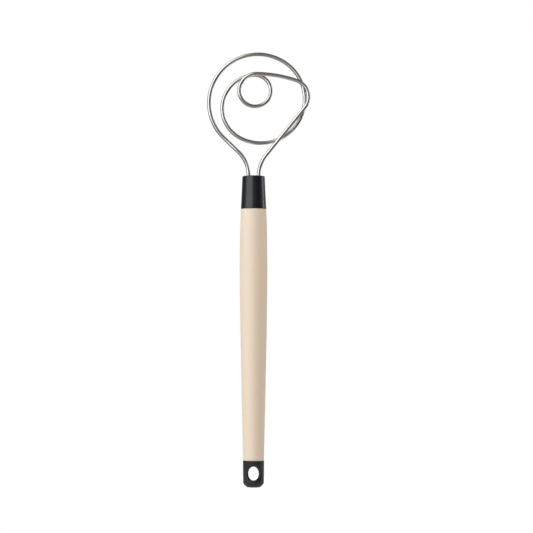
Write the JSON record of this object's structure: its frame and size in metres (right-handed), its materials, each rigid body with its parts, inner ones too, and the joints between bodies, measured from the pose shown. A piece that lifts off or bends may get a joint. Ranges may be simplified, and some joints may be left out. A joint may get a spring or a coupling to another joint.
{
  "type": "dough whisk",
  "caption": "Dough whisk for stiff dough: a steel wire bent into nested loops, set in a round plastic handle with a dark collar and an end cap with a hanging hole.",
  "frame": {"origin": "centre of the flat end of the end cap, on the handle's axis", "axes": "+Z along the handle towards the wire loops, +X to the right and -Y towards the viewer with the corner of the wire at the right"},
  "size_m": [0.0816, 0.0218, 0.3431],
  "materials": {
    "stainless_wire": "polished stainless steel wire",
    "plug_plastic": "moulded nylon, hidden",
    "dark_plastic": "near-black moulded plastic, satin",
    "cream_plastic": "smooth cream moulded plastic, satin"
  },
  "bodies": {
    "root": {"whisk_wire": "stainless_wire", "wire_anchor": "plug_plastic", "collar": "dark_plastic", "handle": "cream_plastic", "end_cap": "dark_plastic"}
  },
  "joints": []
}
